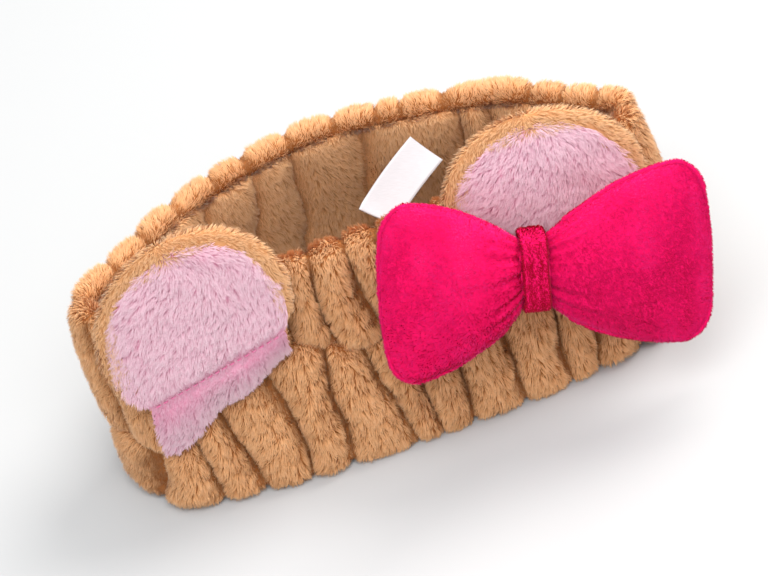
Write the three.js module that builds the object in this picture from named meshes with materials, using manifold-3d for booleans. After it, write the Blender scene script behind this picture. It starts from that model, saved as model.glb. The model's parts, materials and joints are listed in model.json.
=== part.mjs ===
// Plush spa headband: a gathered faux-fur loop with two ears, a stuffed bow and a folded satin label.
// Millimetres. +Z is up, the band's face looks along -Y, and the loop stands on its lower edge at z = 0.
import * as THREE from "three";
import { mergeVertices } from "three/addons/utils/BufferGeometryUtils.js";
import Module from "manifold-3d";

// ---- driving dimensions ----
const GAP = 0.3; // between touching pieces
const BAND_HEIGHT = 85.3;
const HALF_LENGTH = 106; // of the loop, to the middle of the wall
const FRONT_DEPTH = { low: 49.5, high: 24.2 }; // the front wall leans back
const BACK_DEPTH = { low: 47, high: 40.5 };
const SQUARENESS = { front: 3.2, back: 1.6 }; // superellipse exponents of the loop seen from above
const END_SWING = { left: 6, right: 4, from: 62 }; // the loop's ends bend forwards, beyond this distance
// Where the back wall swells outwards, or inwards where the depth is negative.
const BACK_SWELLS = [
  { depth: 3, x: -10, spread: 30 },
  { depth: -5, x: -82, spread: 18 },
  { depth: -4, x: 90, spread: 14 },
];
const WALL_LEAN = THREE.MathUtils.degToRad(16.5); // of the front wall, back from upright
const BACK_SEAM_HEIGHT = 43; // of the seam between the two rows of gathers
// Across the front, the ears pull the seam up at their inner ends and let it down at their outer ends.
const FRONT_SEAM = [
  [-106, 29],
  [-94, 26],
  [-66, 41],
  [-38, 53],
  [-14, 44],
  [10, 41],
  [38, 48],
  [68, 43],
  [96, 31],
  [106, 30],
];
const WALL_STEPS = 22; // along each half of the loop

const ELASTIC_THICKNESS = 1.2;
const ELASTIC_HALF_WIDTH = { lower: 8, upper: 12 };
const THREAD_RADIUS = 0.45;

const EAR = {
  creaseHalfWidth: 30,
  halfWidth: 38,
  shoulder: 20, // height above the crease where the ear is widest
  height: 54,
  depth: 7.6,
  rim: 3.5, // width of the back panel's fur that rolls round to the front
  pocket: 5,
  padding: 1.4,
};
const EAR_PLACES = {
  left: { crease: [-67.5, -50.9, 63.5], yaw: -6, roll: -15, skew: 0.13 },
  right: { crease: [67, -50.2, 62.5], yaw: 6, roll: 9, skew: -0.05 },
};
const FOOT = { back: 2.4, front: 2.8, gap: 0.45, lift: 2.6, overSeam: 3, underCrease: 1.2 };

const BOW = {
  centre: [54.3, -66.3, 72.5],
  roll: 14, // degrees, the right lobe lower
  droop: { left: 0.09, right: 0 }, // how far each lobe sinks along its length, as a slope
  hingeX: 5,
  neckX: 7.2,
  endX: { left: 58, right: 67 },
  neckHeight: 13,
  lobeHeight: 36.5,
  endHeight: 28,
  flare: { above: 0.9, below: 0.65 }, // how soon a lobe widens; smaller is sooner
  halfThickness: 12.5,
  fabric: 2.4,
};
const KNOT = { halfWidth: 4.4, halfHeight: 15.5, halfDepth: 8.8, fabric: 2.4 };
const TACK = { radius: 1.2, drop: 12, length: 11.5 };

const LABEL = {
  width: 15,
  thickness: 0.8,
  path: [
    [7.5, -17.3, 81.1],
    [9.5, -14.2, 80.5],
    [17, -8.2, 82.8],
    [25, -2.2, 84.8],
    [33.5, 4.2, 86.2],
  ],
  across: [0.567, -0.53, -0.631],
  acrossRoot: [0.723, -0.214, -0.657],
  twistEnd: 0.16,
};

const plush = (color) => new THREE.MeshStandardMaterial({ color, roughness: 0.95, metalness: 0 });
const MATERIALS = {
  tan: plush(0xcf9a68),
  pink: plush(0xf0b3cb),
  hotPink: plush(0xf2125f),
  wadding: plush(0xf4f2ee),
  elastic: new THREE.MeshStandardMaterial({ color: 0xe9e6e0, roughness: 0.8, metalness: 0 }),
  tanThread: new THREE.MeshStandardMaterial({ color: 0xb98453, roughness: 0.7, metalness: 0 }),
  pinkThread: new THREE.MeshStandardMaterial({ color: 0xf29bbd, roughness: 0.7, metalness: 0 }),
  satin: new THREE.MeshStandardMaterial({ color: 0xf3f1f4, roughness: 0.35, metalness: 0 }),
};

const wasm = await Module();
wasm.setup();

// ---- solids ----
function toManifold(geometry) {
  const bare = (geometry.index ? geometry.toNonIndexed() : geometry.clone());
  bare.deleteAttribute("normal");
  bare.deleteAttribute("uv");
  const merged = mergeVertices(bare, 1e-4);
  const mesh = new wasm.Mesh({
    numProp: 3,
    vertProperties: merged.attributes.position.array,
    triVerts: new Uint32Array(merged.index.array),
  });
  return new wasm.Manifold(mesh);
}

function toGeometry(solid) {
  const mesh = solid.getMesh();
  const geometry = new THREE.BufferGeometry();
  geometry.setAttribute("position", new THREE.BufferAttribute(mesh.vertProperties, mesh.numProp));
  geometry.setIndex(new THREE.BufferAttribute(mesh.triVerts, 1));
  geometry.computeVertexNormals();
  return geometry;
}

function signedVolume(points, faces) {
  const volume = (sum, [a, b, c]) => sum + points[a].dot(points[b].clone().cross(points[c]));
  return faces.reduce(volume, 0) / 6;
}

// A closed body through sections of equal point count; outline2d gives each section's flat shape for the caps.
// Every side facet is split the same way, rising from one section to the next, so that stacked layers nest.
function loft(sections, outline2d) {
  const count = sections[0].length;
  const points = sections.flat();
  const faces = [];
  for (let i = 0; i + 1 < sections.length; i += 1) {
    for (let j = 0; j < count; j += 1) {
      const a = i * count + j;
      const b = i * count + ((j + 1) % count);
      if (points[b].z > points[a].z) faces.push([a, b, b + count], [a, b + count, a + count]);
      else faces.push([a, b, a + count], [b, b + count, a + count]);
    }
  }
  const cap = THREE.ShapeUtils.triangulateShape(outline2d, []);
  const last = (sections.length - 1) * count;
  const clockwise = THREE.ShapeUtils.isClockWise(outline2d);
  for (const [a, b, c] of cap) {
    faces.push(clockwise ? [a, b, c] : [a, c, b]);
    faces.push(clockwise ? [last + a, last + c, last + b] : [last + a, last + b, last + c]);
  }
  const inward = signedVolume(points, faces) < 0;
  const index = faces.flatMap(([a, b, c]) => (inward ? [a, c, b] : [a, b, c]));
  const geometry = new THREE.BufferGeometry().setFromPoints(points);
  geometry.setIndex(index);
  geometry.computeVertexNormals();
  return geometry;
}

function mesh(name, geometry, material) {
  const made = new THREE.Mesh(geometry, material);
  made.name = name;
  return made;
}

// ---- the loop's wall ----
function signedPower(value, power) {
  return Math.sign(value) * Math.abs(value) ** power;
}

// The middle of the wall at an angle round the loop and a height above the floor.
function wallPlan(angle, z) {
  const share = z / BAND_HEIGHT;
  const back = Math.sin(angle) > 0;
  const depth = back ? BACK_DEPTH : FRONT_DEPTH;
  const power = 2 / (back ? SQUARENESS.back : SQUARENESS.front);
  const x = HALF_LENGTH * signedPower(Math.cos(angle), power);
  const y = THREE.MathUtils.lerp(depth.low, depth.high, share) * signedPower(Math.sin(angle), power);
  const swing = x < 0 ? END_SWING.left : END_SWING.right;
  const forwards = swing * THREE.MathUtils.smoothstep(Math.abs(x), END_SWING.from, HALF_LENGTH);
  const swellAt = (sum, swell) => sum + swell.depth * Math.exp(-(((x - swell.x) / swell.spread) ** 2));
  const swelling = back ? BACK_SWELLS.reduce(swellAt, 0) * Math.min(1, 3 * Math.sin(angle)) : 0;
  return new THREE.Vector2(x, y - forwards + swelling);
}

function seamHeight(x, onBack = false) {
  const next = THREE.MathUtils.clamp(FRONT_SEAM.findIndex(([at]) => at >= x), 1, FRONT_SEAM.length - 1);
  const [[xA, a], [xB, b]] = [FRONT_SEAM[next - 1], FRONT_SEAM[next]];
  const front = THREE.MathUtils.lerp(a, b, THREE.MathUtils.smoothstep(x, xA, xB));
  const end = THREE.MathUtils.smoothstep(Math.abs(x), 66, 105);
  return onBack ? THREE.MathUtils.lerp(BACK_SEAM_HEIGHT, front, end) : front;
}

// Angles that space points evenly along half the loop at mid height, from start to end.
function evenAngles(start, end, steps) {
  const fine = 2000;
  const angles = Array.from({ length: fine + 1 }, (_, i) => start + ((end - start) * i) / fine);
  const lengths = [0];
  for (let i = 1; i <= fine; i += 1) {
    const step = wallPlan(angles[i], BAND_HEIGHT / 2).distanceTo(wallPlan(angles[i - 1], BAND_HEIGHT / 2));
    lengths.push(lengths[i - 1] + step);
  }
  return Array.from({ length: steps + 1 }, (_, i) => {
    const wanted = (lengths[fine] * i) / steps;
    return angles[lengths.findIndex((length) => length >= wanted - 1e-9)];
  });
}

// A point off the wall: out is the distance outwards from its middle.
function wallPoint(angle, out, z) {
  const here = wallPlan(angle, z);
  const nudge = 0.004;
  const along = wallPlan(angle + nudge, z).sub(wallPlan(angle - nudge, z)).normalize();
  return new THREE.Vector3(here.x + along.y * out, here.y - along.x * out, z);
}

const SIDE_CUT = 0.006; // radians left out at each side seam, where the front half meets the back half
const HALVES = {
  front: evenAngles(Math.PI + SIDE_CUT, 2 * Math.PI - SIDE_CUT, WALL_STEPS),
  back: evenAngles(SIDE_CUT, Math.PI - SIDE_CUT, WALL_STEPS),
};

// A strip of the wall: profile(seam) lists its [out, z] outline where the seam is at that height.
function wallStrip(angles, profile) {
  const outlineAt = (angle) => profile(seamHeight(wallPlan(angle, BAND_HEIGHT / 2).x, angle < Math.PI));
  const sections = angles.map((angle) => outlineAt(angle).map(([out, z]) => wallPoint(angle, out, z)));
  const flat = outlineAt(angles[0]).map(([out, z]) => new THREE.Vector2(out, z));
  return loft(sections, flat);
}

// Distances out from the middle of the wall.
const HIDDEN_FACE = ELASTIC_THICKNESS / 2 + 0.6;
const RIM_FACE = 0.2;
const ROW_DEPTH = 10.2;
const LINING_DEPTH = 9;
const SEAM_CLEARANCE = 0.75;

// The lower and upper edges of each row's elastic, where the seam is at that height.
const elasticEdges = {
  lower: (seam) => {
    const middle = (seam + 2) / 2;
    const half = Math.min(ELASTIC_HALF_WIDTH.lower, seam / 2 - 3);
    return [middle - half, middle + half];
  },
  upper: (seam) => {
    const middle = (seam + BAND_HEIGHT) / 2;
    return [middle - ELASTIC_HALF_WIDTH.upper, middle + ELASTIC_HALF_WIDTH.upper];
  },
};

// One puffed row of the outer fabric, as [out, share of its height].
const ROW_PUFF = [
  [3.4, 0],
  [7.4, 0.07],
  [9.6, 0.22],
  [ROW_DEPTH, 0.5],
  [9.6, 0.78],
  [7.4, 0.93],
];

function lowerRow(seam) {
  const top = seam - SEAM_CLEARANCE;
  const [low, high] = elasticEdges.lower(seam);
  const puff = ROW_PUFF.slice(1).map(([out, share]) => [out, share * top]);
  return [
    [RIM_FACE, 0],
    [6, 0],
    ...puff,
    [3.4, top],
    [HIDDEN_FACE, top],
    [HIDDEN_FACE, high],
    [HIDDEN_FACE, low],
    [HIDDEN_FACE, 3],
    [RIM_FACE, 2.4],
  ];
}

function upperRow(seam) {
  const bottom = seam + SEAM_CLEARANCE;
  const [low, high] = elasticEdges.upper(seam);
  const puff = ROW_PUFF.map(([out, share]) => [out, bottom + share * (BAND_HEIGHT - bottom)]);
  return [
    [HIDDEN_FACE, bottom],
    ...puff,
    [4, BAND_HEIGHT - 0.3],
    [RIM_FACE, BAND_HEIGHT],
    [RIM_FACE, BAND_HEIGHT - 2.4],
    [HIDDEN_FACE, BAND_HEIGHT - 3],
    [HIDDEN_FACE, high],
    [HIDDEN_FACE, low],
  ];
}

function lining(seam) {
  return [
    [-RIM_FACE, 0],
    [-RIM_FACE, 2.4],
    [-HIDDEN_FACE, 3],
    ...elasticEdges.lower(seam).map((z) => [-HIDDEN_FACE, z]),
    ...elasticEdges.upper(seam).map((z) => [-HIDDEN_FACE, z]),
    [-HIDDEN_FACE, BAND_HEIGHT - 3],
    [-RIM_FACE, BAND_HEIGHT - 2.4],
    [-RIM_FACE, BAND_HEIGHT],
    [-4, BAND_HEIGHT - 0.5],
    [-7, BAND_HEIGHT - 5],
    [-LINING_DEPTH, BAND_HEIGHT - 16],
    [-7.4, seam],
    [-LINING_DEPTH, seam / 2],
    [-7.6, 4],
    [-5, 0],
  ];
}

function elasticStrip(row) {
  const half = ELASTIC_THICKNESS / 2;
  return (seam) => {
    const [low, high] = elasticEdges[row](seam);
    return [
      [-half, low],
      [half, low],
      [half, high],
      [-half, high],
    ];
  };
}

function seamThread(seam) {
  const sides = 6;
  const out = 2.4;
  return Array.from({ length: sides }, (_, i) => {
    const turn = (i / sides) * 2 * Math.PI;
    return [out + THREAD_RADIUS * Math.cos(turn), seam + THREAD_RADIUS * Math.sin(turn)];
  });
}

function band() {
  const group = new THREE.Group();
  for (const [half, angles] of Object.entries(HALVES)) {
    group.add(
      mesh(`lower_row_${half}`, wallStrip(angles, lowerRow), MATERIALS.tan),
      mesh(`upper_row_${half}`, wallStrip(angles, upperRow), MATERIALS.tan),
      mesh(`lining_${half}`, wallStrip(angles, lining), MATERIALS.tan),
      mesh(`lower_elastic_${half}`, wallStrip(angles, elasticStrip("lower")), MATERIALS.elastic),
      mesh(`upper_elastic_${half}`, wallStrip(angles, elasticStrip("upper")), MATERIALS.elastic),
      mesh(`seam_thread_${half}`, wallStrip(angles, seamThread), MATERIALS.tanThread),
    );
  }
  return group;
}

// ---- ears ----
// The ear's outline above its crease, drawn inwards by inset and down past the crease by below.
function earOutline(inset, below) {
  const crease = EAR.creaseHalfWidth - inset;
  const wide = EAR.halfWidth - inset;
  const shape = new THREE.Shape();
  shape.moveTo(-crease, -below);
  if (below > 0) shape.lineTo(-crease, 0);
  shape.bezierCurveTo(-crease - 4, 5, -wide, EAR.shoulder - 6, -wide, EAR.shoulder);
  shape.absellipse(0, EAR.shoulder, wide, EAR.height - EAR.shoulder - inset, Math.PI, 0, true);
  shape.bezierCurveTo(wide, EAR.shoulder - 6, crease + 4, 5, crease, 0);
  if (below > 0) shape.lineTo(crease, -below);
  return shape;
}

// A flat slab of a shape drawn in X and Z, from back to front along -Y.
function slab(shape, back, front) {
  const geometry = new THREE.ExtrudeGeometry(shape, {
    depth: front - back,
    bevelEnabled: false,
    curveSegments: 9,
  });
  return geometry.rotateX(Math.PI / 2).translate(0, -back, 0);
}

// The ear turns about its crease, on the front face, so the group's origin is there.
function ear(side) {
  const { crease, yaw, roll, skew } = EAR_PLACES[side];
  const group = new THREE.Group();
  group.name = `ear_${side}_crease`;
  const lift = 0.5; // above the crease, clear of the foot and its topstitch
  const floor = EAR.depth - EAR.pocket;
  const pocket = toManifold(slab(earOutline(EAR.rim, 6), floor, EAR.depth + 1));
  const back = toManifold(slab(earOutline(0, 0), 0, EAR.depth)).subtract(pocket);
  const filling = earOutline(EAR.rim + GAP, 0);
  const shear = new THREE.Matrix4().makeShear(0, 0, 0, 0, skew, 0);
  const pieces = [
    mesh(`ear_${side}_back`, toGeometry(back), MATERIALS.tan),
    mesh(`ear_${side}_padding`, slab(filling, floor + GAP, floor + GAP + EAR.padding), MATERIALS.wadding),
    mesh(`ear_${side}_front`, slab(filling, floor + 2 * GAP + EAR.padding, EAR.depth + 0.2), MATERIALS.pink),
  ];
  for (const piece of pieces) {
    piece.geometry.applyMatrix4(shear);
    piece.position.set(0, EAR.depth, lift);
  }
  group.add(...pieces);
  const length = 2 * EAR.creaseHalfWidth - 8;
  const thread = new THREE.CylinderGeometry(THREAD_RADIUS, THREAD_RADIUS, length, 6).rotateZ(Math.PI / 2);
  const topstitch = mesh(`ear_${side}_topstitch`, thread, MATERIALS.pinkThread);
  topstitch.position.set(0, 1.2, -0.15);
  group.add(topstitch);
  group.position.set(...crease);
  group.rotation.set(-WALL_LEAN, THREE.MathUtils.degToRad(roll), THREE.MathUtils.degToRad(yaw), "ZXY");
  group.updateMatrixWorld(true);
  return group;
}

// The strip of ear fabric between the seam, where it is sewn in, and the crease. It follows the wall below and
// the crease above: near and far are its distances from its back face.
function foot(earGroup, near, far) {
  const steps = 7;
  const half = EAR.creaseHalfWidth;
  const sections = [];
  for (let i = 0; i <= steps; i += 1) {
    const across = THREE.MathUtils.lerp(-half, half, i / steps);
    const onCrease = (y) => earGroup.localToWorld(new THREE.Vector3(across, y, -FOOT.underCrease));
    const x = onCrease(0).x;
    const seam = seamHeight(x);
    const angle = HALVES.front.reduce((best, a) => {
      const miss = (b) => Math.abs(wallPlan(b, seam).x - x);
      return miss(a) < miss(best) ? a : best;
    });
    const exact = angleAt(x, seam, angle);
    const low = seam + FOOT.overSeam;
    const rowFace = rowFaceAt(low, seam);
    sections.push([
      wallPoint(exact, rowFace + FOOT.lift + near, low),
      onCrease(EAR.depth - near),
      onCrease(EAR.depth - far),
      wallPoint(exact, rowFace + FOOT.lift + far, low),
    ]);
  }
  return loft(sections, [
    new THREE.Vector2(0, 0),
    new THREE.Vector2(0, 1),
    new THREE.Vector2(1, 1),
    new THREE.Vector2(1, 0),
  ]);
}

// The angle on the front of the loop whose wall is at x, found by halving from a first guess.
function angleAt(x, z, guess) {
  let low = guess - 0.2;
  let high = guess + 0.2;
  for (let i = 0; i < 40; i += 1) {
    const middle = (low + high) / 2;
    if (wallPlan(middle, z).x < x) low = middle;
    else high = middle;
  }
  return (low + high) / 2;
}

// How far out the upper row's face is at a height.
function rowFaceAt(z, seam) {
  const bottom = seam + SEAM_CLEARANCE;
  const share = (z - bottom) / (BAND_HEIGHT - bottom);
  const above = ROW_PUFF.findIndex(([, s]) => s > share);
  const [outA, a] = ROW_PUFF[above - 1];
  const [outB, b] = ROW_PUFF[above];
  return THREE.MathUtils.mapLinear(share, a, b, outA, outB);
}

// ---- bow ----
// A stuffed lobe reaching along +X from neckX to endX, drawn inwards by inset.
function lobe(inset, neckX, endX, droop) {
  const length = endX - BOW.neckX;
  const sections = [];
  const steps = 11;
  const sides = 16;
  for (let i = 0; i <= steps; i += 1) {
    const share = i / steps;
    const x = THREE.MathUtils.lerp(neckX, endX - inset, share);
    const along = THREE.MathUtils.clamp((x - BOW.neckX) / length, 0, 1);
    const corner = THREE.MathUtils.smoothstep(along, 0.72, 1);
    const heightFor = (power) => {
      const flare = THREE.MathUtils.lerp(BOW.neckHeight, BOW.lobeHeight, Math.sin((along * Math.PI) / 2) ** power);
      return THREE.MathUtils.lerp(flare, BOW.endHeight, corner ** 1.6) - inset;
    };
    const above = heightFor(BOW.flare.above);
    const below = heightFor(BOW.flare.below);
    const swell = Math.sqrt(Math.sin(Math.PI * THREE.MathUtils.lerp(0.055, 0.965, along)));
    const thickness = Math.max(BOW.halfThickness * swell - inset, 0.6);
    sections.push(
      Array.from({ length: sides }, (_, j) => {
        const turn = (j / sides) * 2 * Math.PI;
        const across = thickness * signedPower(Math.cos(turn), 1.25);
        const up = Math.sin(turn) * (Math.sin(turn) > 0 ? above : below);
        return new THREE.Vector3(x, across, up - droop * (x - BOW.neckX));
      }),
    );
  }
  return loft(sections, sections[0].map((p) => new THREE.Vector2(p.y, p.z)));
}

// Keeps the part of a solid on one side of the plane y = 0, with half a gap left.
function halfOf(solid, side) {
  const size = 200;
  const box = new THREE.BoxGeometry(size, size, size).translate(0, (side * (size + GAP)) / 2, 0);
  return solid.intersect(toManifold(box));
}

function bowLobe(side) {
  const endX = BOW.endX[side];
  const droop = BOW.droop[side];
  const hollow = toManifold(lobe(BOW.fabric, BOW.neckX - 4, endX, droop));
  const cover = toManifold(lobe(0, BOW.neckX, endX, droop)).subtract(hollow);
  const stuffing = lobe(BOW.fabric + 3 * GAP, BOW.neckX + 1, endX, droop);
  const group = new THREE.Group();
  group.name = `bow_${side}_hinge`;
  group.add(
    mesh(`bow_${side}_front_panel`, toGeometry(halfOf(cover, -1)), MATERIALS.hotPink),
    mesh(`bow_${side}_back_panel`, toGeometry(halfOf(cover, 1)), MATERIALS.hotPink),
    mesh(`bow_${side}_stuffing`, stuffing, MATERIALS.wadding),
  );
  const direction = side === "right" ? 1 : -1;
  group.scale.x = direction;
  group.position.x = direction * BOW.hingeX;
  for (const piece of group.children) piece.position.x = -BOW.hingeX;
  return group;
}

function roundedRectangle(halfWidth, halfHeight, radius) {
  const shape = new THREE.Shape();
  shape.moveTo(-halfWidth + radius, -halfHeight);
  shape.lineTo(halfWidth - radius, -halfHeight);
  shape.quadraticCurveTo(halfWidth, -halfHeight, halfWidth, -halfHeight + radius);
  shape.lineTo(halfWidth, halfHeight - radius);
  shape.quadraticCurveTo(halfWidth, halfHeight, halfWidth - radius, halfHeight);
  shape.lineTo(-halfWidth + radius, halfHeight);
  shape.quadraticCurveTo(-halfWidth, halfHeight, -halfWidth, halfHeight - radius);
  shape.lineTo(-halfWidth, -halfHeight + radius);
  shape.quadraticCurveTo(-halfWidth, -halfHeight, -halfWidth + radius, -halfHeight);
  return shape;
}

// Extrudes a shape drawn in Y and Z along X, centred.
function barAlongX(shape, halfLength) {
  const options = { depth: 2 * halfLength, bevelEnabled: false, curveSegments: 5 };
  const bar = new THREE.ExtrudeGeometry(shape, options).translate(0, 0, -halfLength);
  return bar.rotateX(Math.PI / 2).rotateZ(Math.PI / 2);
}

// The stitches that tack the knot's back to the ear's foot.
function tack() {
  const stalk = new THREE.CylinderGeometry(TACK.radius, TACK.radius, TACK.length, 8);
  const made = mesh("bow_tack_thread", stalk, MATERIALS.pinkThread);
  made.position.set(0, KNOT.halfDepth + GAP + TACK.length / 2, -TACK.drop);
  return made;
}

function knot() {
  const wrap = roundedRectangle(KNOT.halfDepth, KNOT.halfHeight, 5);
  const hole = [KNOT.halfDepth - KNOT.fabric, KNOT.halfHeight - KNOT.fabric];
  wrap.holes.push(roundedRectangle(hole[0], hole[1], 3.5));
  const waist = roundedRectangle(hole[0] - GAP, hole[1] - GAP, 3.2);
  return [
    mesh("bow_knot_wrap", barAlongX(wrap, KNOT.halfWidth), MATERIALS.hotPink),
    mesh("bow_waist", barAlongX(waist, KNOT.halfWidth), MATERIALS.hotPink),
  ];
}

// The bow's frame: X along the bow, Z up the wall, -Y away from it.
function bow() {
  const group = new THREE.Group();
  group.name = "bow_tack_axis";
  group.add(...knot(), bowLobe("left"), bowLobe("right"), tack());
  group.position.set(...BOW.centre);
  group.rotation.set(-WALL_LEAN, THREE.MathUtils.degToRad(BOW.roll), 0, "ZXY");
  group.updateMatrixWorld(true);
  return group;
}

// ---- label ----
function label() {
  const curve = new THREE.CatmullRomCurve3(LABEL.path.map((p) => new THREE.Vector3(...p)));
  const acrossRoot = new THREE.Vector3(...LABEL.acrossRoot).normalize();
  const acrossBody = new THREE.Vector3(...LABEL.across).normalize();
  const steps = 16;
  const sections = Array.from({ length: steps + 1 }, (_, i) => {
    const centre = curve.getPointAt(i / steps);
    const turned = THREE.MathUtils.smoothstep(i / steps, 0, LABEL.twistEnd);
    const across = acrossRoot.clone().lerp(acrossBody, turned).normalize();
    const normal = curve.getTangentAt(i / steps).cross(across).normalize();
    const corner = (w, t) =>
      centre
        .clone()
        .addScaledVector(across, (w * LABEL.width) / 2)
        .addScaledVector(normal, (t * LABEL.thickness) / 2);
    return [corner(-1, -1), corner(1, -1), corner(1, 1), corner(-1, 1)];
  });
  const flat = [[-1, -1], [1, -1], [1, 1], [-1, 1]].map(([x, y]) => new THREE.Vector2(x, y));
  return mesh("satin_label", loft(sections, flat), MATERIALS.satin);
}

// ---- assembly ----
const headband = new THREE.Group();
headband.add(band());
for (const side of ["left", "right"]) {
  const earGroup = ear(side);
  headband.add(earGroup);
  const backFoot = foot(earGroup, 0, FOOT.back);
  const frontFoot = foot(earGroup, FOOT.back + FOOT.gap, FOOT.back + FOOT.gap + FOOT.front);
  headband.add(
    mesh(`ear_${side}_foot_back`, backFoot, MATERIALS.tan),
    mesh(`ear_${side}_foot_front`, frontFoot, MATERIALS.pink),
  );
}
headband.add(bow(), label());

// The origin is at the middle of the footprint, on the floor.
const box = new THREE.Box3().setFromObject(headband, true);
const centre = box.getCenter(new THREE.Vector3());
headband.position.set(-centre.x, -centre.y, -box.min.z);

export default headband;
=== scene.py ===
"""Looks of the plush spa headband: gathered fur rows, ears, a velour bow and a satin label."""
import json
import math

import bpy
import numpy as np
from mathutils import Matrix, Vector

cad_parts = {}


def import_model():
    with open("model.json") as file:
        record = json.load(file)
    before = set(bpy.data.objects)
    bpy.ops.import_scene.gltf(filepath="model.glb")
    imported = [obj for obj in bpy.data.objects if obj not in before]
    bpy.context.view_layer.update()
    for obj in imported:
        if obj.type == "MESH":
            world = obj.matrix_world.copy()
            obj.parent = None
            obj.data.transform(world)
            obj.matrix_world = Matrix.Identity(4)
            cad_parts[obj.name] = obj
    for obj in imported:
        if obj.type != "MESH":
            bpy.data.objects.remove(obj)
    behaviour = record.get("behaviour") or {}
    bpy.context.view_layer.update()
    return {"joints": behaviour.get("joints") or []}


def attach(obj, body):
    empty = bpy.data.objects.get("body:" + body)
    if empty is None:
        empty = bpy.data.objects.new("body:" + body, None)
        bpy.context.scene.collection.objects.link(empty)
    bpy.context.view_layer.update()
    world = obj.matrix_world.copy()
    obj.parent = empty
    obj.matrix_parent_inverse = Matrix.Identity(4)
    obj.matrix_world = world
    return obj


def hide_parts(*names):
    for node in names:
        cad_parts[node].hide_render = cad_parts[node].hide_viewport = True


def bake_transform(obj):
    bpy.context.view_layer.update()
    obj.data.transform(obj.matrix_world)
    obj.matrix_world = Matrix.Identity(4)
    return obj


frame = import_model()
JOINTS = {j["name"]: j for j in frame["joints"]}
MM = 0.001

# ---- the loop, as the CAD part draws it, in millimetres ----
BAND_HEIGHT = 85.3
HALF_LENGTH = 106.0
FRONT_DEPTH = (49.5, 24.2)  # at the floor and at the rim
BACK_DEPTH = (47.0, 40.5)
SQUARE_FRONT = 3.2
SQUARE_BACK = 1.6
END_SWING = (6.0, 4.0)  # how far the left and right ends lie forwards
SWING_FROM = 62.0
BACK_SWELLS = ((3.0, -10.0, 30.0), (-5.0, -82.0, 18.0), (-4.0, 90.0, 14.0))  # depth, x, spread
WALL_LEAN = math.radians(16.5)
BACK_SEAM = 43.0
FRONT_SEAM_X = (-106, -94, -66, -38, -14, 10, 38, 68, 96, 106)
FRONT_SEAM_Z = (29, 26, 41, 53, 44, 41, 48, 43, 31, 30)
EAR_CREASE = {"left": (-67.5, -50.9, 63.5), "right": (67.0, -50.2, 62.5)}
EAR_TURN = {"left": (-6.0, -15.0), "right": (6.0, 9.0)}  # yaw and roll, in degrees
EAR_SKEW = {"left": 0.13, "right": -0.05}
CREASE_HALF = 30.0
EAR_HALF = 38.0
EAR_SHOULDER = 20.0
EAR_HEIGHT = 54.0
BOW_CENTRE = (54.3, -66.3, 72.5)
BOW_ROLL = 14.0

# The CAD part is centred on its footprint, so its ring is off the ring's own middle by this much.
OFFSET = np.array(JOINTS["ear_left_fold"]["pos_m"]) / MM - np.array(EAR_CREASE["left"])


def lerp(a, b, t):
    return a + (b - a) * t


def smooth(a, b, x):
    t = np.clip((x - a) / (b - a), 0, 1)
    return t * t * (3 - 2 * t)


def unit(v):
    return v / np.maximum(np.linalg.norm(v, axis=-1, keepdims=True), 1e-9)


def signed_power(v, p):
    return np.sign(v) * np.abs(v) ** p


def plan(angle, z):
    """Middle of the wall, as x and y, at an angle round the loop and a height."""
    share = z / BAND_HEIGHT
    s, c = np.sin(angle), np.cos(angle)
    back = s > 0
    depth = np.where(back, lerp(*BACK_DEPTH, share), lerp(*FRONT_DEPTH, share))
    power = 2 / np.where(back, SQUARE_BACK, SQUARE_FRONT)
    x, y = HALF_LENGTH * signed_power(c, power), depth * signed_power(s, power)
    forwards = np.where(x < 0, END_SWING[0], END_SWING[1]) * smooth(SWING_FROM, HALF_LENGTH, np.abs(x))
    swelling = sum(d * np.exp(-((x - at) / spread) ** 2) for d, at, spread in BACK_SWELLS)
    return x, y - forwards + np.where(back, swelling * np.clip(3 * s, 0, 1), 0.0)


def wall_point(angle, out, z):
    """A point on the wall, out millimetres outwards from its middle."""
    x, y = plan(angle, z)
    x1, y1 = plan(angle + 0.01, z)
    x0, y0 = plan(angle - 0.01, z)
    tx, ty = x1 - x0, y1 - y0
    length = np.maximum(np.hypot(tx, ty), 1e-9)
    return np.stack([x + ty / length * out, y - tx / length * out, z + 0 * x], -1)


def seam_height(x, on_back=False):
    """Height of the seam between the rows. The ears pull it up at their inner ends."""
    places, heights = np.array(FRONT_SEAM_X, float), np.array(FRONT_SEAM_Z, float)
    k = np.clip(np.searchsorted(places, x), 1, len(places) - 1)
    front = lerp(heights[k - 1], heights[k], smooth(places[k - 1], places[k], x))
    return np.where(on_back, lerp(BACK_SEAM, front, smooth(66, 105, np.abs(x))), front)


def even_angles(n):
    """n angles evenly spaced along the wall's middle, their distances round it, and its girth."""
    fine = np.linspace(0, 2 * np.pi, 8001)
    x, y = plan(fine, BAND_HEIGHT / 2)
    length = np.concatenate([[0], np.cumsum(np.hypot(np.diff(x), np.diff(y)))])
    s = np.arange(n) / n * length[-1]
    return np.interp(s, length, fine), s, length[-1]


# ---- smooth random fields ----
def noise_1d(x, period, cell, rng):
    """Smooth noise of about -1 to 1 along a loop of that period."""
    n = max(3, int(round(period / cell)))
    knots = rng.uniform(-1, 1, n)
    u = np.asarray(x) / period * n
    i = np.floor(u).astype(int)
    t = smooth(0, 1, u - i)
    return knots[i % n] * (1 - t) + knots[(i + 1) % n] * t


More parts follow.
